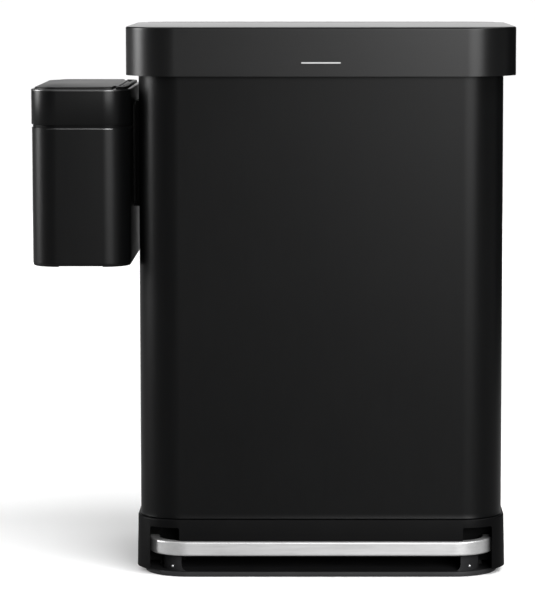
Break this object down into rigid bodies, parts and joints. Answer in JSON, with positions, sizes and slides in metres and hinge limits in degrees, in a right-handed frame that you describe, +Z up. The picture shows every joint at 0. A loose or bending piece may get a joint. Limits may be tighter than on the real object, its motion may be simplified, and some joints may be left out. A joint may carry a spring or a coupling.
{
  "type": "pedal trash can",
  "caption": "Rectangular black step-open trash can with overhanging lid, steel pedal bar and a lidded caddy docked on its side.",
  "frame": {"origin": "on the floor, under the middle of the box that holds the can and its caddy", "axes": "+Z up, the front with the pedal faces -Y, the caddy is on the -X side"},
  "size_m": [0.573, 0.335, 0.65],
  "materials": {
    "black_steel": "satin powder coat",
    "black_plastic": "fine moulded texture",
    "grey_plastic": "fine moulded texture",
    "brushed_steel": "brushed along its length",
    "plain_steel": "zinc plated",
    "rubber": "matt"
  },
  "bodies": {
    "can": {"outer_shell": "black_steel", "top_frame": "black_plastic", "base_skirt": "black_plastic", "bottom_tray": "black_plastic", "inner_floor": "black_plastic", "foot_front_left": "rubber", "foot_front_right": "rubber", "foot_rear_left": "rubber", "foot_rear_right": "rubber", "axle_bracket_left": "black_plastic", "axle_bracket_right": "black_plastic", "pedal_axle": "plain_steel", "rear_channel": "black_plastic", "rod_guide_lower": "grey_plastic", "rod_guide_upper": "grey_plastic", "hinge_housing": "black_plastic", "hinge_block_left": "plain_steel", "hinge_block_right": "plain_steel", "hinge_pin_left": "plain_steel", "hinge_pin_right": "plain_steel", "inner_bucket": "grey_plastic", "liner_rim": "plain_steel", "damper_cylinder": "plain_steel", "dock_bracket": "black_plastic", "dock_magnet_front": "plain_steel", "dock_magnet_rear": "plain_steel"},
    "lid": {"lid_outer": "black_steel", "lid_liner": "black_plastic", "crank_plate_left": "plain_steel", "crank_plate_right": "plain_steel", "crank_pin_left": "plain_steel", "crank_pin_right": "plain_steel", "lid_bumper_left": "rubber", "lid_bumper_right": "rubber"},
    "pedal": {"pedal_bar": "brushed_steel", "pedal_core": "black_plastic", "pedal_arm_left": "plain_steel", "pedal_arm_right": "plain_steel", "pedal_beam": "black_plastic", "pedal_rear_arm": "plain_steel", "pedal_roller": "grey_plastic", "roller_pin": "plain_steel"},
    "rod": {"lift_rod": "plain_steel", "rod_foot": "grey_plastic"},
    "damper": {"damper_rod": "plain_steel"},
    "caddy": {"caddy_shell": "black_steel", "caddy_base": "black_plastic", "caddy_collar": "black_steel", "caddy_bucket": "grey_plastic", "caddy_back_plate": "black_plastic", "caddy_hinge_pin": "plain_steel"},
    "caddy_lid": {"caddy_lid": "black_plastic"}
  },
  "joints": [
    {"name": "lid_hinge", "type": "hinge", "parent": "can", "child": "lid", "pos_m": [0.0565, 0.132, 0.642], "axis": [-1, 0, 0], "range_deg": [0, 80]},
    {"name": "pedal_pivot", "type": "hinge", "parent": "can", "child": "pedal", "pos_m": [0.0565, -0.053, 0.034], "axis": [1, 0, 0], "range_deg": [0, 10]},
    {"name": "rod_slide", "type": "slide", "parent": "can", "child": "rod", "axis": [0, 0, 1], "range_m": [0, 0.02869]},
    {"name": "damper_slide", "type": "slide", "parent": "can", "child": "damper", "axis": [0, 0, 1], "range_m": [0, 0.02869]},
    {"name": "caddy_pull_off", "type": "slide", "parent": "can", "child": "caddy", "axis": [-1, 0, 0], "range_m": [0, 0.15]},
    {"name": "caddy_lid_hinge", "type": "hinge", "parent": "caddy", "child": "caddy_lid", "pos_m": [-0.1835, 0, 0.5734], "axis": [0, 1, 0], "range_deg": [0, 80]}
  ],
  "couplings": [
    {"joint": "pedal_pivot", "follows": "lid_hinge", "ratio": 0.125},
    {"joint": "rod_slide", "follows": "lid_hinge", "m_per_rad": 0.020544},
    {"joint": "damper_slide", "follows": "lid_hinge", "m_per_rad": 0.020544}
  ]
}
